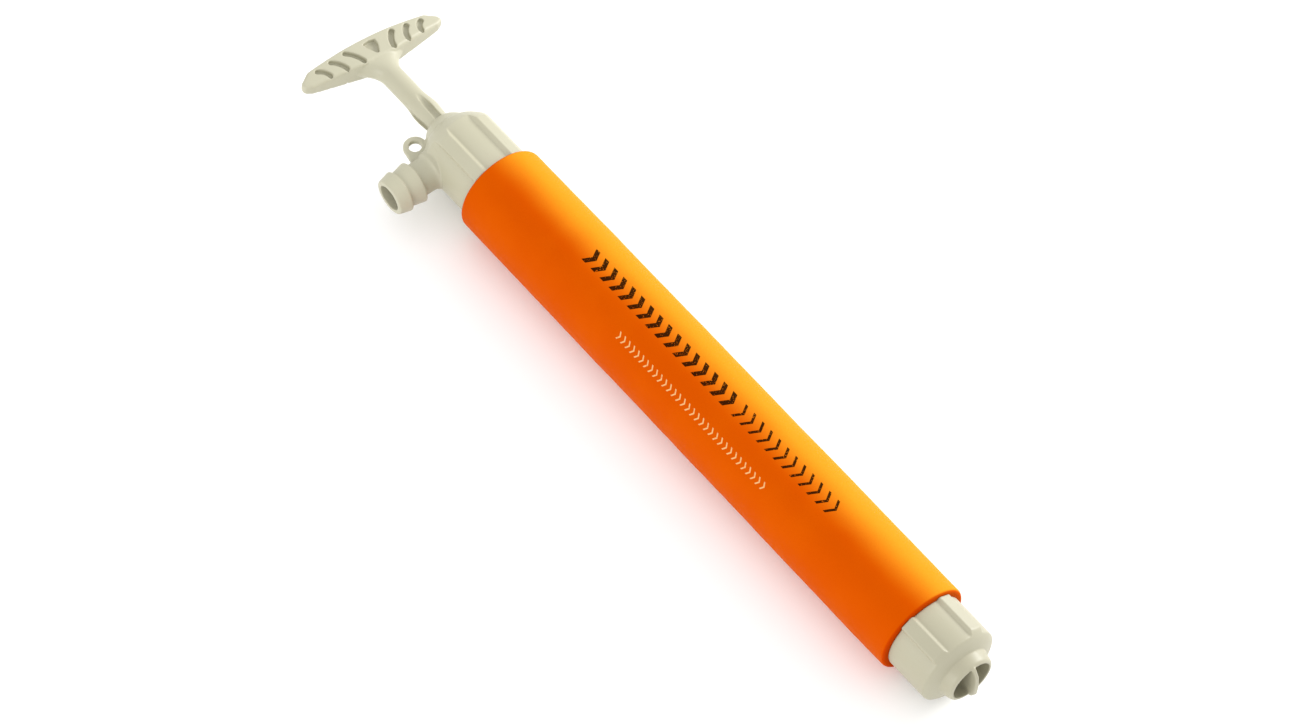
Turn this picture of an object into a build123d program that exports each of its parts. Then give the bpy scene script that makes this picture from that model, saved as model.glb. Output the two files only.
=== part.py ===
from build123d import *
import os

# Hand bilge pump lying on its side. Millimetres.
# +X runs along the pump's axis from the T handle to the suction foot, the discharge spout points
# to -Y and +Z is up. The origin is on the pump's axis, halfway along the foam float.
# The plunger is pushed fully in.

# ---- driving dimensions ---------------------------------------------------------------------

FIT = 0.05              # radial clearance where a piece is fitted into or onto another
CLEAR = 0.3             # gap between pieces that move past each other and are not a fit

FLOAT_HALF = 193.7      # half the length of the foam float
FLOAT_R = 30.0
FLOAT_EDGE = 1.8        # rounding of the foam's outer end edges

TUBE_R = 23.8           # 1 7/8 inch barrel tube
TUBE_WALL = 2.0
BORE_R = TUBE_R - TUBE_WALL
TUBE_HEAD_X = -217.0    # the tube's two ends, inside the caps
TUBE_FOOT_X = 215.0

GASKET_T = 1.5          # flat rubber ring between each tube end and its cap
SEAT_T = 3.0            # foot valve seat plate, clamped under the foot gasket

SKIRT_R = 25.3          # caps between their grip ribs
CREST_R = 27.7          # caps over their grip ribs
RIB_ANGLES = (60.0, 120.0, 240.0, 300.0)    # about the pump's axis, from +Y towards +Z
RIB_FOOT_W = 11.0       # rib width where it leaves the skirt
RIB_CREST_W = 8.4       # rib width at its crest
SHOULDER_X = -243.9     # head cap: where the shoulder meets the dome
DOME_R = 16.8
DOME_TOP_X = -253.8

SPOUT_X = -229.0        # spout axis
SPOUT_NECK_R = 10.75
SPOUT_BORE_R = 8.35
BARB_R = 13.6
BARB_LOW_R = 11.4
BARB_PITCH = 10.5
BARB_BACKS = (36.5, 47.0)   # back faces of the two barbs, measured from the pump's axis
SPOUT_MOUTH = 56.0      # mouth plane, measured the same way

EYE_X = -248.7          # lanyard eye, in the plane of the pump's axis and the spout
EYE_Y = -21.5
EYE_HOLE_R = 4.0
EYE_R = 7.4
EYE_T = 3.8

NOZZLE_ROOT_R = 17.2
NOZZLE_R = 15.8         # where the rim's rounding starts
NOZZLE_BORE_R = 13.1
FOOT_RIM_X = 235.4      # plane of the nozzle's rim
NOZZLE_ROOT_X = 227.5   # where the foot cap's shoulder meets the nozzle
WEB_T = 2.2
WEB_CROWN = 5.0         # how far the web's bowed edge stands past the rim at mid span
WEB_SINK = 1.8          # how far the web's ends run into the nozzle's wall
WEB_GAP = 3.0           # gap between the web and the foot valve's seat plate

ROD_R = 7.7
FLUTE_W = 4.6
FLUTE_FLOOR = 5.4       # distance of each flute's floor from the rod's axis
FLUTES = 4
FLUTE_TURN = 6.0        # the flutes against the T, about the pump's axis, degrees
ROD_SHOULDER_X = 184.0  # the fluted length ends here, and the piston's spigot starts
SPIGOT_R = 5.0
SCREW_R = 2.0
SCREW_DEPTH = 12.0      # how far the piston's screw reaches into the spigot

NECK_R = 7.15           # round neck between the handle and the swell
SWELL_R = 8.5           # swell that meets the dome when the plunger is pushed in
SWELL_X = -265.0
NECK_TOP_X = -300.0

HANDLE_ROLL = -9.0      # how far the handle is turned about the pump's axis, degrees
HANDLE_HALF = 52.6      # half the length of the T
HANDLE_TOP_X = -329.8
HANDLE_UNDER_X = -311.6
HANDLE_HALF_T = 8.0     # half the T's thickness at mid span
HANDLE_EDGE = 2.4       # rounding of the T's edges

HANDLE_POCKET = 3.0     # depth of the moulded pockets
HANDLE_SLOT_W = 3.7
HANDLE_SLOTS = (        # centre line's outer end (Y, X), its end near the neck, half thickness there
    (17.6, -325.2, 11.4, -314.6, 7.4),
    (28.6, -324.6, 23.2, -315.8, 6.7),
    (39.2, -323.8, 34.6, -317.2, 5.6),
)

GUIDE_POCKET_R = 11.5   # pocket inside the dome that holds the wiper, the guide and their ring
WIPER_T = 2.2
GUIDE_T = 4.5
GUIDE_RING_T = 2.0
POCKET_END_X = -248.8   # closed end of that pocket

PISTON_R = 18.5
CUP_R = BORE_R - FIT    # the cup seal wipes the tube's bore
PORT_RING_R = 12.5
PORTS = 6
PORT_R = 2.8
FLAP_T = 1.5
FLAP_LIFT = 3.0

# ---- places worked out from them ------------------------------------------------------------

WIPER_X = POCKET_END_X + 0.05
GUIDE_X = WIPER_X + WIPER_T + 0.1
GUIDE_RING_X = GUIDE_X + GUIDE_T + 0.1
POCKET_MOUTH_X = GUIDE_RING_X + GUIDE_RING_T + 0.2

STOP_PLATE_X = ROD_SHOULDER_X + 0.2     # piston stack, from the rod's shoulder to the screw
STOP_PLATE_T = 3.0
STOP_PLATE_R = 15.0
PISTON_X = STOP_PLATE_X + STOP_PLATE_T
PISTON_DECK_X = PISTON_X + 4.8          # ported deck of the piston body
PISTON_DECK_T = 5.0
CUP_X = PISTON_DECK_X + PISTON_DECK_T
CUP_T = 2.5
CLAMP_X = CUP_X + CUP_T
CLAMP_T = 2.0
SPIGOT_END_X = CLAMP_X + CLAMP_T + 0.2
SCREW_SEAT_X = SPIGOT_END_X + 1.0       # outer face of the washer under the screw's head

FOOT_GASKET_X = TUBE_FOOT_X
SEAT_X = FOOT_GASKET_X + GASKET_T
FOOT_FLOOR_X = SEAT_X + SEAT_T


# ---- helpers --------------------------------------------------------------------------------

def turned(*points):
    """A solid of revolution about X from a closed outline of (x, radius) points."""
    return revolve(make_face(Polyline(*points, close=True)), Axis.X)


def ring(x0, x1, inner, outer):
    """A plain ring or, with no inner radius, a plain disc about X."""
    return turned((x0, inner), (x1, inner), (x1, outer), (x0, outer))


def around(count, start=0.0):
    """Evenly spaced angles."""
    return [start + 360.0 * k / count for k in range(count)]


def rounded_ring(x0, x1, inner, outer, edge):
    """A ring with its two outer edges rounded."""
    section = Pos((x0 + x1) / 2, (inner + outer) / 2) * Rectangle(x1 - x0, outer - inner)
    outside = section.vertices().filter_by(lambda v: v.Y > (inner + outer) / 2)
    return revolve(fillet(outside, edge), Axis.X)


# ---- caps -----------------------------------------------------------------------------------

def ribbed_section(skirt_r):
    """The caps' outline across the axis: a circle with low, flat-topped grip ribs."""
    section = Circle(skirt_r)
    root = skirt_r - 1.5
    for angle in RIB_ANGLES:
        rib = Polygon((root, -RIB_FOOT_W / 2), (CREST_R, -RIB_CREST_W / 2),
                      (CREST_R, RIB_CREST_W / 2), (root, RIB_FOOT_W / 2), align=None)
        section += Rot(0, 0, angle) * rib
    crests = section.vertices().filter_by(lambda v: v.center().length > CREST_R - 0.1)
    section = fillet(crests, 0.9)
    roots = section.vertices().filter_by(lambda v: abs(v.center().length - skirt_r) < 0.05)
    return fillet(roots, 0.7)


def ribbed_bar(x0, x1, skirt_r):
    """The ribbed outline carried from x0 to x1."""
    return extrude(Plane.YZ.offset(x0) * ribbed_section(skirt_r), x1 - x0)


def curved_solid(curve, *corners):
    """A solid of revolution about X: one curve of (x, radius), closed by straight lines."""
    ends = Polyline(curve @ 1, *corners, curve @ 0)
    return revolve(make_face(curve + ends), Axis.X)


def head_outside():
    """The ribbed skirt, its rounded shoulder and the dome on top."""
    start = (-226.0, CREST_R + 0.8)
    shoulder = Spline(start, (-232.6, 26.2), (-238.4, 22.6), (-241.9, 19.6), (SHOULDER_X, DOME_R))
    dome = Spline((SHOULDER_X, DOME_R), (-246.6, 15.1), (-250.0, 12.6), (DOME_TOP_X, 7.0))
    front = -FLOAT_HALF
    rest = Polyline(dome @ 1, (DOME_TOP_X, 0), (front, 0), (front, CREST_R + 0.8), start)
    envelope = revolve(make_face(shoulder + dome + rest), Axis.X)
    return ribbed_bar(DOME_TOP_X, front, SKIRT_R) & envelope


def spout_outside():
    """The hose spout: a neck and two barbs, each a cone that grips towards the pump."""
    outline = [(18.0, 0), (18.0, 13.0), (25.2, 12.2), (26.4, 11.2), (28.2, SPOUT_NECK_R),
               (BARB_BACKS[0], SPOUT_NECK_R)]
    for back in BARB_BACKS:
        outline += [(back + 0.4, BARB_R), (back + BARB_PITCH, BARB_LOW_R)]
    outline[-1] = (SPOUT_MOUTH, BARB_LOW_R)
    section = make_face(Polyline(*outline, (SPOUT_MOUTH, 0), close=True))
    crests = section.vertices().filter_by(lambda v: abs(v.Y - BARB_R) < 0.01)
    section = fillet(crests, 0.8)
    mouth = section.vertices().filter_by(lambda v: v.X > SPOUT_MOUTH - 0.01 and v.Y > 1)
    section = fillet(mouth, 1.3)
    return Pos(SPOUT_X, 0, 0) * Rot(0, 0, -90) * revolve(section, Axis.X)


def lanyard_eye():
    """A flat teardrop lug that stands on the spout's root and the dome."""
    head = Pos(EYE_X, EYE_Y) * Circle(EYE_R)
    web = Polygon((EYE_X, EYE_Y - EYE_R), (-237.5, EYE_Y - 9.2), (-237.5, -10.0),
                  (-249.5, EYE_Y + EYE_R - 0.3), align=None)
    lug = extrude(head + web, EYE_T / 2, both=True)
    faces = lug.faces().filter_by(Axis.Z)
    return fillet(faces.edges(), 0.7)


def head_cap():
    """Discharge cap: ribbed skirt, dome with the rod's hole, hose spout and lanyard eye."""
    cap = head_outside() + spout_outside() + lanyard_eye()
    step = TUBE_HEAD_X - GASKET_T
    cap -= turned(
        (-FLOAT_HALF + 1, 0), (-FLOAT_HALF + 1, TUBE_R + FIT), (step, TUBE_R + FIT),
        (step, BORE_R), (-234.0, BORE_R), (POCKET_MOUTH_X, 14.5), (POCKET_MOUTH_X, GUIDE_POCKET_R),
        (POCKET_END_X, GUIDE_POCKET_R), (POCKET_END_X, ROD_R + CLEAR),
        (DOME_TOP_X - 1, ROD_R + CLEAR), (DOME_TOP_X - 1, 0))
    cap -= Pos(SPOUT_X, -SPOUT_MOUTH / 2 - 1, 0) * Rot(90, 0, 0) * Cylinder(SPOUT_BORE_R, SPOUT_MOUTH)
    cap -= Pos(EYE_X, EYE_Y, 0) * Cylinder(EYE_HOLE_R, 3 * EYE_T)
    return cap


def foot_cap():
    """Suction cap: ribbed skirt, rounded shoulder, nozzle, and a web that keeps debris out."""
    skirt_r = SKIRT_R + 0.4
    start = (218.3, CREST_R + 0.8)
    shoulder = Spline(start, (222.1, 26.8), (224.4, 24.3), (226.1, 21.0), (NOZZLE_ROOT_X, 17.9))
    inner_end = FOOT_FLOOR_X + 1
    rest = Polyline(shoulder @ 1, (NOZZLE_ROOT_X, 0), (FLOAT_HALF, 0), (FLOAT_HALF, CREST_R + 0.8),
                    start)
    cap = ribbed_bar(FLOAT_HALF, NOZZLE_ROOT_X + 1, skirt_r) & revolve(
        make_face(shoulder + rest), Axis.X)
    nozzle = curved_solid(
        ThreePointArc((FOOT_RIM_X - 2.6, NOZZLE_R), (FOOT_RIM_X - 0.7, NOZZLE_R - 0.8),
                      (FOOT_RIM_X, NOZZLE_R - 2.2)),
        (FOOT_RIM_X, 0), (inner_end, 0), (inner_end, NOZZLE_ROOT_R), (NOZZLE_ROOT_X, NOZZLE_ROOT_R))
    cap += nozzle
    cap -= turned((FLOAT_HALF - 1, 0), (FLOAT_HALF - 1, TUBE_R + FIT),
                  (FOOT_FLOOR_X, TUBE_R + FIT), (FOOT_FLOOR_X, NOZZLE_BORE_R),
                  (FOOT_RIM_X + 1, NOZZLE_BORE_R), (FOOT_RIM_X + 1, 0))
    return cap + nozzle_web()


def nozzle_web():
    """A plate across the nozzle whose bowed edge stands proud, so that the mouth is never sealed."""
    reach = NOZZLE_BORE_R + WEB_SINK
    crown = FOOT_RIM_X + WEB_CROWN
    half = [(FOOT_FLOOR_X + WEB_GAP, reach), (FOOT_RIM_X + 1.2, reach), (crown - 0.7, 9.0)]
    far = [(x, -z) for x, z in reversed(half)]
    outline = make_face(Polyline(*half, (crown, 0), *far, close=True))
    proud = outline.vertices().filter_by(lambda v: v.X > FOOT_RIM_X)
    plate = Plane.XZ * fillet(proud, 2.0)
    web = extrude(plate, WEB_T / 2, both=True)
    proud = web.edges().filter_by(lambda e: e.center().X > FOOT_RIM_X + 1)
    return fillet(proud, 0.7)


# ---- barrel ---------------------------------------------------------------------------------

def barrel_tube():
    """Plain tube, joined at each end to a cap."""
    return ring(TUBE_HEAD_X, TUBE_FOOT_X, BORE_R, TUBE_R)


def float_sleeve():
    """Buoyant foam tube around the barrel, with rounded outer end edges."""
    return rounded_ring(-FLOAT_HALF, FLOAT_HALF, TUBE_R + FIT, FLOAT_R, FLOAT_EDGE)


def head_gasket():
    """Rubber ring between the tube's end and the head cap."""
    return ring(TUBE_HEAD_X - GASKET_T, TUBE_HEAD_X, BORE_R, TUBE_R)


def foot_gasket():
    """Rubber ring between the tube's end and the foot valve seat."""
    return ring(FOOT_GASKET_X, SEAT_X, BORE_R, TUBE_R)


# ---- rod guide, inside the dome --------------------------------------------------------------

def keyed_ring(x, thickness, outer, gap):
    """A ring around the rod with one key in each flute, so that it turns with the rod."""
    body = ring(x, x + thickness, ROD_R + gap, outer)
    key_w = FLUTE_W - 2 * gap
    floor = FLUTE_FLOOR + gap
    for angle in around(FLUTES, HANDLE_ROLL + FLUTE_TURN):
        key = Box(thickness, ROD_R + 1.0 - floor, key_w)
        body += Rot(angle, 0, 0) * Pos(x + thickness / 2, (ROD_R + 1.0 + floor) / 2, 0) * key
    return body


def rod_wiper():
    """Rubber washer whose keys close the flutes, so that no water follows the rod out."""
    return keyed_ring(WIPER_X, WIPER_T, GUIDE_POCKET_R - 0.1, 0.08)


def rod_guide():
    """Hard guide washer behind the wiper."""
    return keyed_ring(GUIDE_X, GUIDE_T, GUIDE_POCKET_R - 0.1, 0.1)


def guide_ring():
    """Ring pressed into the pocket's mouth, which holds the guide and the wiper in."""
    return ring(GUIDE_RING_X, GUIDE_RING_X + GUIDE_RING_T, ROD_R + CLEAR, GUIDE_POCKET_R)


# ---- plunger --------------------------------------------------------------------------------

def handle_bar():
    """The T in its own frame: X along the pump, Y along the T, Z through its thickness."""
    top = Spline((-328.0, -44.0), (-329.4, -22.0), (HANDLE_TOP_X, 0), (-329.4, 22.0), (-328.0, 44.0))
    half = [(-323.4, HANDLE_HALF - 1.2), (-320.6, HANDLE_HALF), (-318.2, HANDLE_HALF - 1.0),
            (-316.4, HANDLE_HALF - 5.0), (-314.8, 34.0), (-312.9, 18.0), (HANDLE_UNDER_X, 10.0)]
    far = [(x, -y) for x, y in reversed(half)]
    side = make_face(top + Polyline(top @ 1, *half, *far, top @ 0))
    bar = extrude(side, 10, both=True)
    crown = Spline((-HANDLE_HALF - 1, 2.9), (-46.0, 4.3), (-30.0, 6.3), (-12.0, 7.8),
                   (0, HANDLE_HALF_T), (12.0, 7.8), (30.0, 6.3), (46.0, 4.3), (HANDLE_HALF + 1, 2.9))
    mirror_crown = mirror(crown, Plane.XZ)
    plan = make_face(crown + Line(crown @ 1, mirror_crown @ 1) + mirror_crown
                     + Line(mirror_crown @ 0, crown @ 0))
    bar &= extrude(Plane.YZ.offset(HANDLE_TOP_X - 1) * plan, 24)
    return fillet(bar.edges().filter_by(lambda e: e.length > 0.5), HANDLE_EDGE)


def handle_slot(top_y, top_x, foot_y, foot_x):
    """A bowed slot that runs from near the T's top edge towards the neck."""
    middle = ((top_x + foot_x) / 2 - 0.4, (top_y + foot_y) / 2 - 0.9)
    return SlotArc(ThreePointArc((top_x, top_y), middle, (foot_x, foot_y)), HANDLE_SLOT_W)


def handle_pockets():
    """Moulded pockets on both faces of the T: a shield in the middle and three slots each side."""
    shield = make_face(Polyline((-326.0, 0), (-325.2, 4.6), (-321.0, 4.0), (-315.0, 0.8),
                                (-315.0, -0.8), (-321.0, -4.0), (-325.2, -4.6), close=True))
    shield = fillet(shield.vertices(), 0.5)
    pockets = extrude(Pos(0, 0, HANDLE_HALF_T - HANDLE_POCKET) * shield, 12)
    for top_y, top_x, foot_y, foot_x, half_t in HANDLE_SLOTS:
        slot = handle_slot(top_y, top_x, foot_y, foot_x)
        cut = extrude(Pos(0, 0, half_t - HANDLE_POCKET) * slot, 12)
        pockets += cut + mirror(cut, Plane.XZ)
    return pockets + mirror(pockets, Plane.XY)


def neck():
    """Round neck with a swell near the dome, flared into the T at the other end."""
    swell = Spline((DOME_TOP_X - 1, ROD_R), (-259.0, 8.1), (SWELL_X, SWELL_R), (-271.0, 8.0),
                   (-278.0, NECK_R), tangents=[(-1, 0.06), (-1, 0)])
    round_part = curved_solid(swell, (NECK_TOP_X, NECK_R), (NECK_TOP_X, 0), (DOME_TOP_X - 1, 0))
    stations = ((NECK_TOP_X, NECK_R, NECK_R), (-305.0, 8.7, 7.3), (-309.0, 12.0, 7.5),
                (-313.5, 18.5, 7.4))
    flare = loft([Plane.YZ.offset(x) * Ellipse(wide, thick) for x, wide, thick in stations])
    return round_part + flare


def flutes():
    """Cutters for the rod's four flutes, which run out in a point on the neck's swell."""
    half = FLUTE_W / 2
    end = ROD_SHOULDER_X + 1
    plan = make_face(Polyline((-277.5, 0), (-273.5, -half + 0.8), (-265.0, -half), (end, -half),
                              (end, half), (-265.0, half), (-273.5, half - 0.8), close=True))
    depth = make_face(Polyline((-277.5, 7.4), (-272.0, 6.8), (-262.0, FLUTE_FLOOR),
                               (end, FLUTE_FLOOR), (end, 12),
                               (-277.5, 12), close=True))
    one = extrude(plan, 12) & extrude(Plane.XZ * depth, FLUTE_W, both=True)
    return [Rot(angle, 0, 0) * one for angle in around(FLUTES, FLUTE_TURN)]


def plunger():
    """T handle, neck and fluted rod, one moulding, with the piston's spigot at its end."""
    rod = ring(DOME_TOP_X - 2, ROD_SHOULDER_X, 0, ROD_R)
    for cutter in flutes():
        rod -= cutter
    rod += ring(ROD_SHOULDER_X - 4, SPIGOT_END_X, 0, SPIGOT_R)
    return rod


def handle_rod():
    """The whole plunger moulding, with the T turned a little about the pump's axis."""
    handle = handle_bar() - handle_pockets()
    grip = neck()
    for cutter in flutes():
        grip -= cutter
    return Rot(HANDLE_ROLL, 0, 0) * (handle + grip + plunger()) - screw_hole()


def screw_hole():
    """Blind hole for the piston's screw, in the end of the spigot."""
    return ring(SPIGOT_END_X - SCREW_DEPTH - 1.0, SPIGOT_END_X + 1, 0, SCREW_R)


def stop_sleeve():
    """Rubber sleeve on the rod that meets the guide's ring at the end of the pull."""
    return rounded_ring(ROD_SHOULDER_X - 24.0, ROD_SHOULDER_X - 0.2, ROD_R + FIT, 10.6, 1.0)


# ---- piston ---------------------------------------------------------------------------------

def port_cutters(x0, x1, start=0.0):
    """Water ports right through a plate."""
    bar = Pos((x0 + x1) / 2, PORT_RING_R, 0) * Rot(0, 90, 0) * Cylinder(PORT_R, x1 - x0 + 2)
    return [Rot(angle, 0, 0) * bar for angle in around(PORTS, start)]


def piston_stop_plate():
    """Washer above the valve flap that limits how far the flap lifts."""
    return rounded_ring(STOP_PLATE_X, STOP_PLATE_X + STOP_PLATE_T, SPIGOT_R + FIT, STOP_PLATE_R, 0.8)


def piston_body():
    """Piston: a hub on the rod's spigot and a ported deck that the flap closes."""
    hub = ring(PISTON_X, CUP_X, SPIGOT_R + FIT, 8.0)
    deck = ring(PISTON_DECK_X, CUP_X, 7.0, PISTON_R)
    body = hub + deck
    for cutter in port_cutters(PISTON_DECK_X, CUP_X):
        body -= cutter
    return body


def piston_flap():
    """Rubber valve disc, loose on the hub, which lifts towards the handle on the push stroke."""
    return ring(PISTON_DECK_X - FLAP_T, PISTON_DECK_X, 8.0 + CLEAR, 16.8)


def piston_cup():
    """Rubber cup seal: a flange under the deck and a lip that wipes the tube's bore."""
    return turned((CUP_X, 15.9), (CUP_X, PISTON_R + FIT), (PISTON_DECK_X - 3.0, PISTON_R + 1.6),
                  (PISTON_DECK_X - 4.6, CUP_R - 0.9), (PISTON_DECK_X - 3.4, CUP_R),
                  (PISTON_DECK_X + 1.0, CUP_R - 0.4), (CLAMP_X - 0.6, CUP_R - 0.6),
                  (CLAMP_X, CUP_R - 1.2), (CLAMP_X, 15.9))


def piston_clamp_plate():
    """Ported plate that clamps the cup's flange to the piston body."""
    spacer = ring(CUP_X, CLAMP_X, SPIGOT_R + FIT, 15.85)
    plate = spacer + ring(CLAMP_X, CLAMP_X + CLAMP_T, SPIGOT_R + FIT, 18.0)
    for cutter in port_cutters(CUP_X, CLAMP_X + CLAMP_T):
        plate -= cutter
    return plate


def piston_washer():
    """Washer clamped to the spigot's end; the piston is held behind it but can turn."""
    return ring(SPIGOT_END_X, SCREW_SEAT_X, SCREW_R + FIT, 8.0)


def piston_screw():
    """Pan-head screw with a cross recess."""
    head_end = SCREW_SEAT_X + 2.6
    head = rounded_ring(SCREW_SEAT_X, head_end, 0, 4.2, 1.0)
    shank = ring(SPIGOT_END_X - SCREW_DEPTH, SCREW_SEAT_X + 1.0, 0, SCREW_R)
    slot = Pos(head_end, 0, 0) * Box(2.4, 5.0, 0.9)
    return head + shank - slot - Rot(90, 0, 0) * slot


# ---- foot valve -----------------------------------------------------------------------------

def foot_valve_seat():
    """Ported plate clamped under the foot gasket."""
    seat = ring(SEAT_X, FOOT_FLOOR_X, 2.5, TUBE_R)
    bar = Pos(SEAT_X + SEAT_T / 2, 8.2, 0) * Rot(0, 90, 0) * Cylinder(2.9, SEAT_T + 2)
    for angle in around(PORTS, 30):
        seat -= Rot(angle, 0, 0) * bar
    return seat


def foot_valve_flap():
    """Rubber valve disc, loose on its stem, which lifts towards the handle on the pull stroke."""
    return ring(SEAT_X - FLAP_T, SEAT_X, 2.5 + CLEAR, 13.0)


def foot_valve_stem():
    """Stem pressed through the seat, whose head limits how far the flap lifts."""
    head_x = SEAT_X - FLAP_T - FLAP_LIFT - CLEAR
    head = rounded_ring(head_x - 2.0, head_x, 0, 6.0, 0.9)
    shank = ring(head_x - 0.5, FOOT_FLOOR_X + 0.4, 0, 2.5)
    foot = ring(FOOT_FLOOR_X, FOOT_FLOOR_X + 1.6, 0, 3.8)
    return head + shank + foot


# ---- write one file per piece ---------------------------------------------------------------

PIECES = {
    "handle_and_rod": handle_rod,
    "stop_sleeve": stop_sleeve,
    "head_cap": head_cap,
    "rod_wiper": rod_wiper,
    "rod_guide": rod_guide,
    "guide_ring": guide_ring,
    "head_gasket": head_gasket,
    "barrel_tube": barrel_tube,
    "float_sleeve": float_sleeve,
    "foot_gasket": foot_gasket,
    "foot_cap": foot_cap,
    "foot_valve_seat": foot_valve_seat,
    "foot_valve_flap": foot_valve_flap,
    "foot_valve_stem": foot_valve_stem,
    "piston_stop_plate": piston_stop_plate,
    "piston_body": piston_body,
    "piston_flap": piston_flap,
    "piston_cup": piston_cup,
    "piston_clamp_plate": piston_clamp_plate,
    "piston_washer": piston_washer,
    "piston_screw": piston_screw,
}

os.makedirs("parts", exist_ok=True)
for name, make in PIECES.items():
    export_step(make(), f"parts/{name}.step")
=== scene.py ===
import math

import bmesh
import bpy
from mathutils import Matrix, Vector, noise


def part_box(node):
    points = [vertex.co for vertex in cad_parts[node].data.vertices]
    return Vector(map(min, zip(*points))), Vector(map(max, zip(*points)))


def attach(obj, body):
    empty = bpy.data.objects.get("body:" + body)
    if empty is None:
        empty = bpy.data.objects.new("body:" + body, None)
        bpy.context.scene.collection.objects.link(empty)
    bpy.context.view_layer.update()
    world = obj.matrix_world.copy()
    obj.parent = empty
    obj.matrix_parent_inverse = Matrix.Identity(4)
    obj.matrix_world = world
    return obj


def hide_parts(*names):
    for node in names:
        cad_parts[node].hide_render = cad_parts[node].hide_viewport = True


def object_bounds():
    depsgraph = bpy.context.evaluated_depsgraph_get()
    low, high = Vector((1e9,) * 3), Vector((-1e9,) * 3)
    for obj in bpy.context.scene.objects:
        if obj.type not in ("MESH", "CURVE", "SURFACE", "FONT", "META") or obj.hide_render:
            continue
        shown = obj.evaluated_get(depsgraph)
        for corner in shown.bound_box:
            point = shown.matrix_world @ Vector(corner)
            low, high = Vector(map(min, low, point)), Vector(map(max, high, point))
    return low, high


bl_info = {
    "name": "Hand Bilge Pump",
    "version": (1, 0, 0),
    "blender": (4, 5, 0),
    "location": "View3D > Sidebar > Bilge Pump",
    "description": "Builds the looks of a foam-covered hand bilge pump around its packed frame",
    "category": "Object",
}

MM = 0.001

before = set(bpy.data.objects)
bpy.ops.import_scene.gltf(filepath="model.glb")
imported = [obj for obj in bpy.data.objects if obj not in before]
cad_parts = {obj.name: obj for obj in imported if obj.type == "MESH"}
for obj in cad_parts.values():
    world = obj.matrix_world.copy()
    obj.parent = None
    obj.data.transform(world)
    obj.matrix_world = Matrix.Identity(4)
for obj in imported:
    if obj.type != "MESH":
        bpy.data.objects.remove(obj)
cad_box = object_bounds()

FLOAT_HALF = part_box("float_sleeve")[1].x    # half the foam's length
FLOAT_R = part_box("float_sleeve")[1].z       # the foam's radius
TUBE_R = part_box("barrel_tube")[1].z         # the barrel tube's radius
FLOAT_BORE_R = TUBE_R + 0.05 * MM           # the foam's bore

CHEVRON_LEAN = 0.62                         # how far a chevron's arm leans along, for its height
BOLD_CHEVRONS = (8.4 * MM, 11.4 * MM, 3.6 * MM)     # pitch, height and stroke of each row
SLIM_CHEVRONS = (7.4 * MM, 11.4 * MM, 2.0 * MM)
SMALL_CHEVRONS = (4.2 * MM, 5.0 * MM, 1.0 * MM)
SMALL_ROW_ANGLE = math.radians(40)          # from the top line round to the small row, towards -Y
TINT_START, TINT_END = 150 * MM, 235 * MM   # where the darker tint of the foot's end begins and is full
FLOOR_RADIUS = 12.0
CAMERA_REACH = 40.0                         # how far the camera sees, in metres
KEY_TOWARDS = (0.05, 0.92, 0.38)
FILL_TOWARDS = (0.05, -0.94, 0.34)


# ---- shader nodes ------------------------------------------------------------------------------

class Value:
    """A number socket that can be used in Python sums; each operator adds its Math node."""

    def __init__(self, shop, socket):
        self.shop = shop
        self.socket = socket

    def __add__(self, other):
        return self.shop.math("ADD", self, other)

    def __radd__(self, other):
        return self.shop.math("ADD", other, self)

    def __sub__(self, other):
        return self.shop.math("SUBTRACT", self, other)

    def __rsub__(self, other):
        return self.shop.math("SUBTRACT", other, self)

    def __mul__(self, other):
        return self.shop.math("MULTIPLY", self, other)

    def __abs__(self):
        return self.shop.math("ABSOLUTE", self)


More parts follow.
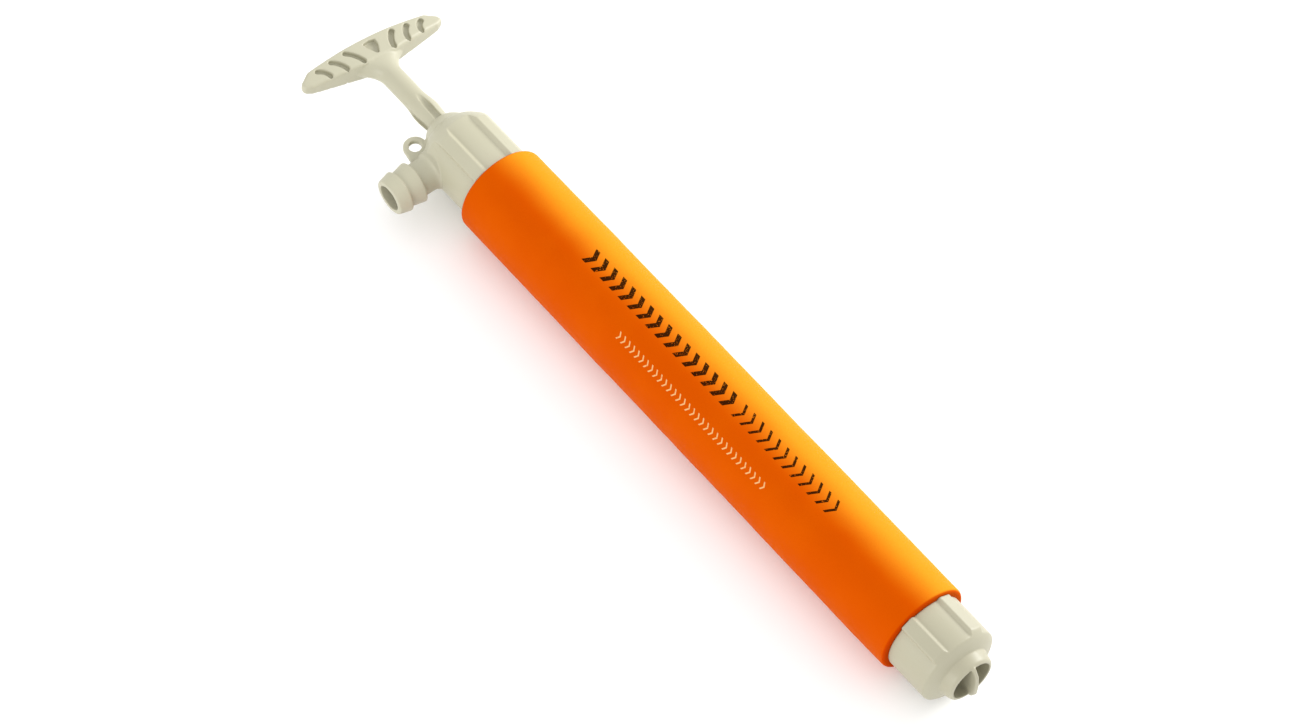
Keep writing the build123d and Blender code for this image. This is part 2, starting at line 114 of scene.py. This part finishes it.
class NodeShop:
    """Makes the nodes of one material."""

    def __init__(self, name):
        self.material = bpy.data.materials.new(name)
        self.material.use_nodes = True
        self.tree = self.material.node_tree
        self.tree.nodes.clear()
        self.place = self.node("ShaderNodeTexCoord").outputs["Object"]

    def node(self, kind, settings=None, sockets=None):
        """Adds a node. Its settings are set first, then its sockets' values or links."""
        made = self.tree.nodes.new(kind)
        for key, setting in (settings or {}).items():
            setattr(made, key, setting)
        for key, content in (sockets or {}).items():
            socket = made.inputs[key]
            content = getattr(content, "socket", content)
            if isinstance(content, bpy.types.NodeSocket):
                self.tree.links.new(content, socket)
            else:
                socket.default_value = content
        return made

    def math(self, operation, *terms):
        """One Math node."""
        made = self.node("ShaderNodeMath", {"operation": operation}, dict(enumerate(terms)))
        return Value(self, made.outputs[0])

    def axes(self):
        """The object position's x, y and z."""
        split = self.node("ShaderNodeSeparateXYZ", None, {"Vector": self.place})
        return [Value(self, out) for out in split.outputs]

    def stretched(self, *factors):
        """The object position scaled along each axis."""
        made = self.node("ShaderNodeVectorMath", {"operation": "MULTIPLY"}, {0: self.place, 1: factors})
        return made.outputs["Vector"]

    def noise(self, lumps, detail=3.0, place=None):
        """Noise from 0 to 1 with this many lumps a metre."""
        made = self.node("ShaderNodeTexNoise", None, {
            "Vector": place or self.place, "Scale": lumps, "Detail": detail})
        return Value(self, made.outputs["Fac"])

    def cells(self, count):
        """Distance from the middles of cells, this many a metre, as a share of their size."""
        made = self.node("ShaderNodeTexVoronoi", None, {"Vector": self.place, "Scale": count})
        return Value(self, made.outputs["Distance"])

    def step(self, value, low, high):
        """A smooth step from 0 at low to 1 at high."""
        made = self.node("ShaderNodeMapRange", {"interpolation_type": "SMOOTHSTEP"}, {
            "Value": value, "From Min": low, "From Max": high})
        return Value(self, made.outputs["Result"])

    def line(self, distance, half_width, soft):
        """1 within half_width of a line, and 0 outside it."""
        return 1 - self.step(distance, half_width - soft, half_width + soft)

    def blend(self, amount, first, second):
        """The colour first where amount is 0, and second where it is 1."""
        made = self.node("ShaderNodeMix", {"data_type": "RGBA"}, {0: amount, 6: first, 7: second})
        return made.outputs[2]

    def bump(self, height, depth):
        """A normal from a height of 0 to 1 that stands for this depth in metres."""
        made = self.node("ShaderNodeBump", None, {"Height": height, "Distance": depth})
        return made.outputs["Normal"]

    def edges(self):
        """How far the surface is from flat: above 0.5 on an outer edge and below it in a corner."""
        return Value(self, self.node("ShaderNodeNewGeometry").outputs["Pointiness"])

    def surface(self, sockets):
        """The finished material."""
        shader = self.node("ShaderNodeBsdfPrincipled", None, sockets)
        self.node("ShaderNodeOutputMaterial", None, {"Surface": shader.outputs["BSDF"]})
        return self.material


def rgba(tone, shade=1.0):
    """A colour property as a socket's value, lighter or darker by shade."""
    return (*(c * shade for c in tone), 1.0)


# ---- settings ----------------------------------------------------------------------------------

def length(name, description, millimetres):
    """A length property with its default in millimetres."""
    return bpy.props.FloatProperty(name=name, description=description, default=millimetres * MM,
                                   unit="LENGTH", precision=5)


def colour(name, description, *default):
    """A colour property in linear light."""
    return bpy.props.FloatVectorProperty(name=name, description=description, default=default,
                                         subtype="COLOR", min=0, max=1)


class FloatSettings(bpy.types.PropertyGroup):
    """The foam float and its decoration."""
    end_rounding: length("End Rounding", "Radius of the foam's outer end edges", 2.4)
    wander: length("Wander", "How far the foam's skin wanders from a true cylinder", 0.22)
    orange: colour("Orange", "Colour of the foam's skin", 0.53, 0.068, 0.0)
    pale_orange: colour("Pale Orange", "Colour of the skin's lighter patches", 0.56, 0.082, 0.0)
    # Painted light: the +Y side is coloured lighter and yellower, standing in for the key light falling on that
    # side.
    lit_side_orange: colour("Lit Side Orange", "Colour of the float's yellower side, towards +Y", 0.67, 0.248, 0.010)
    cut_orange: colour("Cut Orange", "Colour of the cut ends", 0.47, 0.036, 0.0)
    gloss: colour("Gloss", "Tint of the skin's soft shine", 1.0, 0.55, 0.0)
    dark_ink: colour("Dark Ink", "Colour of the bold chevrons along the top", 0.008, 0.002, 0.001)
    pale_ink: colour("Pale Ink", "Colour of the small chevrons", 0.68, 0.42, 0.18)
    bold_start: length("Bold Start", "Where the bold chevrons start along the pump", -106)
    bold_end: length("Bold End", "Where the bold chevrons end", 27)
    slim_start: length("Slim Start", "Where the slimmer chevrons start", 31)
    slim_end: length("Slim End", "Where the slimmer chevrons end", 117)
    small_start: length("Small Start", "Where the small chevrons start", -56)
    small_end: length("Small End", "Where the small chevrons end", 78)


class MouldingSettings(bpy.types.PropertyGroup):
    """The grey-white mouldings: the caps, the handle and the rod."""
    grain: length("Grain", "Size of the faces that a moulding is remade with", 0.4)
    easing: bpy.props.IntProperty(name="Easing", description="How many times the edges are eased",
                                  default=7, min=0)
    most_faces: bpy.props.IntProperty(name="Most Faces", description="Triangles in one moulding",
                                      default=190000, min=1000)
    body: colour("Body", "Colour of the plastic", 0.425, 0.408, 0.300)
    aged: colour("Aged", "Colour of its yellower patches", 0.400, 0.377, 0.260)
    # This colour darkens corners and grooves as painted shade and grime, and also colours the scuffs, the
    # specks and the darker foot end.
    grime_and_shade: colour("Grime And Shade", "Colour in corners and grooves", 0.28, 0.255, 0.175)


class InsideSettings(bpy.types.PropertyGroup):
    """The barrel's, piston's and valves' finishes."""
    tube: colour("Tube", "Colour of the barrel tube", 0.66, 0.66, 0.62)
    white: colour("White Plastic", "Colour of the inner mouldings", 0.64, 0.63, 0.59)
    rubber: colour("Rubber", "Colour of the seals and valve discs", 0.028, 0.028, 0.030)
    steel: colour("Steel", "Colour of the screw and its washer", 0.62, 0.61, 0.59)


class StageSettings(bpy.types.PropertyGroup):
    """The floor, the light and the camera."""
    floor: colour("Floor", "Colour of the floor", 0.96, 0.96, 0.96)
    sky: bpy.props.FloatProperty(name="Sky", description="Brightness of the light from all round",
                                 default=1.14, min=0)
    key_power: bpy.props.FloatProperty(name="Key Power", description="Power of the light on the far side",
                                       default=41, min=0, unit="POWER")
    fill_power: bpy.props.FloatProperty(name="Fill Power", description="Power of the light on the spout's side",
                                        default=14.5, min=0, unit="POWER")
    light_size: length("Light Size", "Side of each soft light", 1000)
    light_distance: length("Light Distance", "How far each light is from the pump", 2100)
    lens: bpy.props.FloatProperty(name="Lens", description="The camera's focal length in millimetres",
                                  default=121.76, min=1)
    azimuth: bpy.props.FloatProperty(name="Azimuth", description="The camera's angle round the pump",
                                     default=math.radians(51.25), subtype="ANGLE")
    elevation: bpy.props.FloatProperty(name="Elevation", description="The camera's angle above the floor",
                                       default=math.radians(57.2), subtype="ANGLE")
    distance: length("Distance", "How far the camera is from its aim", 2551)
    aim: bpy.props.FloatVectorProperty(name="Aim", description="The point that the camera looks at",
                                       default=(-42.5 * MM, -8.07 * MM, -3.26 * MM), subtype="XYZ",
                                       unit="LENGTH")


# ---- materials ---------------------------------------------------------------------------------

def chevrons(shop, x, across, start, end, pitch, height, stroke):
    """A mask of a row of chevrons that point along the pump. across is the distance from their row."""
    soft = 0.1 * MM
    lean = abs(across) * CHEVRON_LEAN
    slide = shop.math("PINGPONG", x + lean - start - pitch / 2, pitch / 2)
    ends = shop.line(abs(x + lean - (start + end) / 2), (end - start) / 2, soft)
    return shop.line(slide, stroke / 2, soft) * shop.line(abs(across), height / 2, soft) * ends


def foam_decoration(shop, settings):
    """Masks of the dark and the pale rows of chevrons."""
    x, y, z = shop.axes()
    around = shop.math("ARCTAN2", y, z) * FLOAT_R       # along the skin, from the top line to +Y
    bold = chevrons(shop, x, around, settings.bold_start, settings.bold_end, *BOLD_CHEVRONS)
    slim = chevrons(shop, x, around, settings.slim_start, settings.slim_end, *SLIM_CHEVRONS)
    aside = around + SMALL_ROW_ANGLE * FLOAT_R
    small = chevrons(shop, x, aside, settings.small_start, settings.small_end, *SMALL_CHEVRONS)
    return shop.math("MAXIMUM", bold, slim), small


def foam_skin(settings):
    """Closed-cell foam: a smooth, slightly leathery skin, open cells at the cut ends."""
    shop = NodeShop("orange_foam_skin")
    x, y, _ = shop.axes()
    cut = shop.step(abs(x), FLOAT_HALF - 1.6 * MM, FLOAT_HALF - 0.5 * MM)
    patches = shop.noise(28, 2.0)
    # Painted light: this mask makes the +Y side lighter and yellower, in place of the key light that falls
    # there.
    lit_side = shop.step(y + patches * 5 * MM - 2.5 * MM, -0.3 * FLOAT_R, 0.55 * FLOAT_R)
    leather = shop.noise(330, 4.0)
    pores = shop.step(shop.cells(1500), 0.05, 0.42)
    fine = shop.noise(2600, 2.0)

    skin = shop.blend(shop.step(patches, 0.35, 0.75) * 0.6, rgba(settings.orange),
                      rgba(settings.pale_orange))
    skin = shop.blend(lit_side, skin, rgba(settings.lit_side_orange))
    skin = shop.blend((1 - pores) * 0.2, skin, rgba(settings.cut_orange))
    skin = shop.blend(cut * (0.75 + fine * 0.25), skin, rgba(settings.cut_orange))
    dark, pale = foam_decoration(shop, settings)
    worn = shop.step(shop.noise(1300, 2.0), 0.25, 0.42)
    skin = shop.blend(dark * worn * 0.96, skin, rgba(settings.dark_ink))
    skin = shop.blend(pale * worn * 0.92, skin, rgba(settings.pale_ink))

    roughness = 0.44 + leather * 0.16 + cut * 0.3 - dark * 0.08
    relief = leather * 0.5 + pores * (0.25 + cut * 0.5) + fine * 0.15
    return shop.surface({
        "Base Color": skin, "Roughness": roughness, "Normal": shop.bump(relief, 0.12 * MM),
        "Specular IOR Level": 0.02, "Specular Tint": rgba(settings.gloss),
        "Sheen Weight": 0.06, "Sheen Roughness": 0.4, "Sheen Tint": rgba(settings.gloss)})


def moulded_plastic(settings):
    """Grey-white moulded plastic: slightly yellowed, with painted shade and grime darkening its corners,
    painted highlights on its outer edges, and a darker foot.
    """
    shop = NodeShop("grey_white_plastic_moulded")
    x = shop.axes()[0]
    edges = shop.edges()
    patches = shop.noise(17, 3.0)
    grain = shop.noise(4200, 2.0)
    scuffs = shop.step(shop.noise(90, 5.0, shop.stretched(1, 7, 7)), 0.62, 0.74)
    specks = 1 - shop.step(shop.cells(210), 0.03, 0.055)

    skin = shop.blend(shop.step(patches, 0.4, 0.8) * 0.5, rgba(settings.body), rgba(settings.aged))
    # Painted shade, partly grime: concave corners and grooves are darkened.
    skin = shop.blend((1 - shop.step(edges, 0.40, 0.49)) * 0.3, skin, rgba(settings.grime_and_shade))
    # Painted highlight: outer edges are lightened with a brighter copy of the body colour.
    skin = shop.blend(shop.step(edges, 0.505, 0.56) * 0.15, skin, rgba(settings.body, 1.12))
    tinted = shop.step(x, TINT_START, TINT_END)
    skin = shop.blend(tinted * 0.4, skin, rgba(settings.grime_and_shade))
    skin = shop.blend(scuffs * 0.10 + specks * 0.16, skin, rgba(settings.grime_and_shade))

    roughness = 0.36 + patches * 0.10 + scuffs * 0.14 + grain * 0.05
    relief = grain * 0.5 + patches * 0.5
    return shop.surface({
        "Base Color": skin, "Roughness": roughness, "Normal": shop.bump(relief, 0.03 * MM),
        "Specular IOR Level": 0.5})


def drawn_tube(settings):
    """Extruded tube with faint draw lines along it."""
    shop = NodeShop("white_tube_extruded")
    lines = shop.noise(900, 2.0, shop.stretched(0.01, 1, 1))
    patches = shop.noise(20)
    skin = shop.blend(lines * 0.3 + patches * 0.2, rgba(settings.tube), rgba(settings.tube, 0.86))
    return shop.surface({
        "Base Color": skin, "Roughness": 0.24 + lines * 0.14,
        "Normal": shop.bump(lines, 0.02 * MM)})


def inner_plastic(settings):
    """White moulded plastic of the inner parts."""
    shop = NodeShop("white_plastic_moulded")
    patches = shop.noise(60)
    grain = shop.noise(3800, 2.0)
    skin = shop.blend(shop.step(patches, 0.35, 0.8) * 0.6, rgba(settings.white),
                      rgba(settings.white, 0.84))
    return shop.surface({
        "Base Color": skin, "Roughness": 0.40 + patches * 0.12, "Normal": shop.bump(grain, 0.02 * MM)})


def seal_rubber(settings):
    """Soft black rubber with a dusty bloom."""
    shop = NodeShop("black_rubber_seal")
    bloom = shop.noise(140, 4.0)
    grain = shop.noise(2600, 3.0)
    skin = shop.blend(shop.step(bloom, 0.4, 0.85) * 0.6, rgba(settings.rubber),
                      rgba(settings.rubber, 2.6))
    return shop.surface({
        "Base Color": skin, "Roughness": 0.58 + bloom * 0.22, "Normal": shop.bump(grain, 0.04 * MM)})


def screw_steel(settings):
    """Plain stainless steel with fine turning marks."""
    shop = NodeShop("stainless_steel_turned")
    _, y, z = shop.axes()
    radius = shop.math("SQRT", y * y + z * z)
    marks = shop.math("SINE", radius * 9000.0) * 0.5 + 0.5
    smudge = shop.noise(260, 3.0)
    skin = shop.blend(smudge * 0.5, rgba(settings.steel), rgba(settings.steel, 0.78))
    return shop.surface({
        "Base Color": skin, "Metallic": 1.0, "Roughness": 0.22 + smudge * 0.2 + marks * 0.05,
        "Normal": shop.bump(marks, 0.01 * MM)})


def paper_floor(settings):
    """Pale studio paper."""
    shop = NodeShop("pale_floor_paper")
    tone = shop.noise(3, 2.0)
    fibres = shop.noise(700, 3.0)
    skin = shop.blend(tone * 0.3 + fibres * 0.1, rgba(settings.floor), rgba(settings.floor, 0.97))
    return shop.surface({"Base Color": skin, "Roughness": 0.86, "Specular IOR Level": 0.2})


# ---- pieces ------------------------------------------------------------------------------------

def place(piece, material, body, slot, *nodes):
    """Puts a new piece on its body, in the stead of its CAD nodes."""
    piece.data.materials.clear()
    piece.data.materials.append(material)
    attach(piece, body)
    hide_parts(*nodes)


def paint(material, *nodes):
    """Gives CAD nodes a finished material."""
    for name in nodes:
        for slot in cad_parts[name].material_slots:
            slot.material = material


def new_object(name, mesh):
    """A new object in the scene, made of this mesh."""
    piece = bpy.data.objects.new(name, mesh)
    bpy.context.scene.collection.objects.link(piece)
    return piece


def applied(piece):
    """Turns a piece's modifiers into its mesh."""
    graph = bpy.context.evaluated_depsgraph_get()
    mesh = bpy.data.meshes.new_from_object(piece.evaluated_get(graph), depsgraph=graph)
    piece.modifiers.clear()
    piece.data = mesh


def float_outline(settings):
    """The foam's section as (x, radius) points, from its bore round its skin and back."""
    round_r = settings.end_rounding
    steps = 7
    centre = FLOAT_HALF - round_r
    corner = []
    for k in range(steps + 1):
        angle = math.pi / 2 * k / steps
        corner.append((centre + round_r * math.sin(angle), FLOAT_R - round_r + round_r * math.cos(angle)))
    spans = 180
    skin = [(-centre + 2 * centre * k / spans, FLOAT_R) for k in range(1, spans)]
    outer = [(-x, r) for x, r in reversed(corner)] + skin + corner
    face_steps = 5
    depth = corner[-1][1] - FLOAT_BORE_R
    face = [(FLOAT_HALF, FLOAT_BORE_R + depth * (1 - k / face_steps)) for k in range(1, face_steps + 1)]
    return [(-x, r) for x, r in reversed(face)] + outer + face


def float_mesh(settings):
    """The foam tube, turned from its outline, with a skin that isn't quite true."""
    sides = 160
    outline = float_outline(settings)
    build = bmesh.new()
    rings = []
    for x, radius in outline:
        ring = []
        for k in range(sides):
            angle = 2 * math.pi * k / sides
            place_on = Vector((x, radius * math.cos(angle), radius * math.sin(angle)))
            share = (radius - FLOAT_BORE_R) / (FLOAT_R - FLOAT_BORE_R)
            slow = noise.noise(place_on * 24) + 0.4 * noise.noise(place_on * 90)
            out = radius + settings.wander * share * (slow - 0.6)
            along = x + math.copysign(0.3 * MM, x) * share * (noise.noise(place_on * 55) - 0.5)
            along = along if abs(x) > FLOAT_HALF - 3 * MM else x
            ring.append(build.verts.new((along, out * math.cos(angle), out * math.sin(angle))))
        rings.append(ring)
    for near, far in zip(rings, rings[1:] + rings[:1]):
        for k in range(sides):
            build.faces.new((near[k], near[k - 1], far[k - 1], far[k]))
    bmesh.ops.recalc_face_normals(build, faces=build.faces)
    mesh = bpy.data.meshes.new("float")
    build.to_mesh(mesh)
    build.free()
    mesh.shade_smooth()
    return mesh


def eased_moulding(name, node, settings):
    """A copy of a CAD node with the soft edges of a moulding."""
    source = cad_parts[node].data.copy()
    piece = new_object(name, source)
    remade = piece.modifiers.new("Even Faces", "REMESH")
    remade.mode = "VOXEL"
    remade.voxel_size = settings.grain
    remade.use_smooth_shade = True
    eased = piece.modifiers.new("Eased Edges", "SMOOTH")
    eased.factor = 0.5
    eased.iterations = settings.easing
    applied(piece)
    triangles = 2 * len(piece.data.polygons)
    if triangles == 0:
        raise RuntimeError(f"{node} could not be remade")
    if triangles > settings.most_faces:
        thinned = piece.modifiers.new("Fewer Faces", "DECIMATE")
        thinned.ratio = settings.most_faces / triangles
        applied(piece)
        piece.data.shade_smooth()
    return piece


class PumpOperator(bpy.types.Operator):
    """What every step of the pump's making shares."""
    bl_options = {"REGISTER", "UNDO"}


class MakeFloat(PumpOperator):
    """Make the orange foam float, with its rows of chevrons"""
    bl_idname = "bilge_pump.make_float"
    bl_label = "Foam Float"

    def execute(self, context):
        settings = context.scene.pump_float
        piece = new_object("foam_float", float_mesh(settings))
        place(piece, foam_skin(settings), "barrel", "orange_foam", "float_sleeve")
        return {"FINISHED"}


class MakeMouldings(PumpOperator):
    """Make the head cap, the foot cap and the plunger, with a moulding's soft edges"""
    bl_idname = "bilge_pump.make_mouldings"
    bl_label = "Caps, Handle and Rod"

    def execute(self, context):
        settings = context.scene.pump_moulding
        plastic = moulded_plastic(settings)
        for name, node, body in (
                ("discharge_cap", "head_cap", "barrel"),
                ("suction_cap", "foot_cap", "barrel"),
                ("t_handle_and_rod", "handle_and_rod", "handle")):
            piece = eased_moulding(name, node, settings)
            place(piece, plastic, body, "grey_white_plastic", node)
        return {"FINISHED"}


class MakeBarrel(PumpOperator):
    """Finish the barrel tube and its gaskets"""
    bl_idname = "bilge_pump.make_barrel"
    bl_label = "Barrel Tube and Gaskets"

    def execute(self, context):
        settings = context.scene.pump_inside
        paint(drawn_tube(settings), "barrel_tube")
        paint(seal_rubber(settings), "head_gasket", "foot_gasket")
        return {"FINISHED"}


class MakeRodGuide(PumpOperator):
    """Finish the wiper, the guide and their ring in the dome"""
    bl_idname = "bilge_pump.make_rod_guide"
    bl_label = "Rod Guide"

    def execute(self, context):
        settings = context.scene.pump_inside
        paint(inner_plastic(settings), "rod_guide", "guide_ring")
        paint(seal_rubber(settings), "rod_wiper")
        return {"FINISHED"}


class MakePiston(PumpOperator):
    """Finish the piston, its seal, its valve disc and what holds them on the rod"""
    bl_idname = "bilge_pump.make_piston"
    bl_label = "Piston"

    def execute(self, context):
        settings = context.scene.pump_inside
        paint(inner_plastic(settings), "piston_stop_plate", "piston_body", "piston_clamp_plate")
        paint(seal_rubber(settings), "piston_flap", "piston_cup", "stop_sleeve")
        paint(screw_steel(settings), "piston_washer", "piston_screw")
        return {"FINISHED"}


class MakeFootValve(PumpOperator):
    """Finish the foot valve"""
    bl_idname = "bilge_pump.make_foot_valve"
    bl_label = "Foot Valve"

    def execute(self, context):
        settings = context.scene.pump_inside
        paint(inner_plastic(settings), "foot_valve_seat", "foot_valve_stem")
        paint(seal_rubber(settings), "foot_valve_flap")
        return {"FINISHED"}


# ---- stage -------------------------------------------------------------------------------------

def soft_light(name, towards, power, size, distance):
    """A square light that shines on the pump from a direction."""
    lamp = bpy.data.lights.new(name, "AREA")
    lamp.energy = power
    lamp.size = size
    holder = bpy.data.objects.new(name, lamp)
    holder.location = Vector(towards).normalized() * distance
    holder.rotation_euler = Vector(towards).to_track_quat("Z", "Y").to_euler()
    bpy.context.scene.collection.objects.link(holder)


def round_floor(height, radius):
    """A flat disc at this height."""
    build = bmesh.new()
    bmesh.ops.create_circle(build, cap_ends=True, radius=radius, segments=64)
    bmesh.ops.translate(build, verts=build.verts, vec=(0, 0, height))
    mesh = bpy.data.meshes.new("floor")
    build.to_mesh(mesh)
    build.free()
    return mesh


class MakeStage(PumpOperator):
    """Make the floor, the light and the camera"""
    bl_idname = "bilge_pump.make_stage"
    bl_label = "Stage"

    def execute(self, context):
        settings = context.scene.pump_stage
        scene = context.scene
        floor = new_object("floor", round_floor(cad_box[0].z, FLOOR_RADIUS))
        floor.data.materials.append(paper_floor(settings))

        world = bpy.data.worlds.new("studio_air")
        world.use_nodes = True
        world.node_tree.nodes["Background"].inputs["Color"].default_value = (1, 1, 1, 1)
        world.node_tree.nodes["Background"].inputs["Strength"].default_value = settings.sky
        scene.world = world
        for name, towards, power in (("key_light", KEY_TOWARDS, settings.key_power),
                                     ("fill_light", FILL_TOWARDS, settings.fill_power)):
            soft_light(name, towards, power, settings.light_size, settings.light_distance)

        camera = bpy.data.objects.new("camera", bpy.data.cameras.new("camera"))
        camera.data.lens = settings.lens
        camera.data.clip_end = CAMERA_REACH
        level = math.cos(settings.elevation)
        back = Vector((math.sin(settings.azimuth) * level, -math.cos(settings.azimuth) * level,
                       math.sin(settings.elevation)))
        camera.location = Vector(settings.aim) + back * settings.distance
        camera.rotation_euler = back.to_track_quat("Z", "Y").to_euler()
        scene.collection.objects.link(camera)
        scene.camera = camera
        scene.view_settings.view_transform = "Standard"
        return {"FINISHED"}


# ---- add-on ------------------------------------------------------------------------------------

SETTINGS = {
    "pump_float": FloatSettings,
    "pump_moulding": MouldingSettings,
    "pump_inside": InsideSettings,
    "pump_stage": StageSettings,
}
STEPS = (MakeFloat, MakeMouldings, MakeBarrel, MakeRodGuide, MakePiston, MakeFootValve, MakeStage)


class PumpPanel(bpy.types.Panel):
    """The steps of the pump's making and their settings"""
    bl_idname = "VIEW3D_PT_bilge_pump"
    bl_label = "Bilge Pump"
    bl_space_type = "VIEW_3D"
    bl_region_type = "UI"
    bl_category = "Bilge Pump"

    def draw(self, context):
        for step in STEPS:
            self.layout.operator(step.bl_idname)
        for key, group in SETTINGS.items():
            box = self.layout.box()
            box.label(text=group.__doc__)
            for name in group.__annotations__:
                box.prop(getattr(context.scene, key), name)


CLASSES = (*SETTINGS.values(), *STEPS, PumpPanel)


def register():
    for made in CLASSES:
        bpy.utils.register_class(made)
    for key, group in SETTINGS.items():
        setattr(bpy.types.Scene, key, bpy.props.PointerProperty(type=group))


def unregister():
    for key in SETTINGS:
        delattr(bpy.types.Scene, key)
    for made in reversed(CLASSES):
        bpy.utils.unregister_class(made)


def main():
    register()
    for step in STEPS:
        group, name = step.bl_idname.split(".")
        getattr(getattr(bpy.ops, group), name)()


if __name__ == "__main__":
    main()
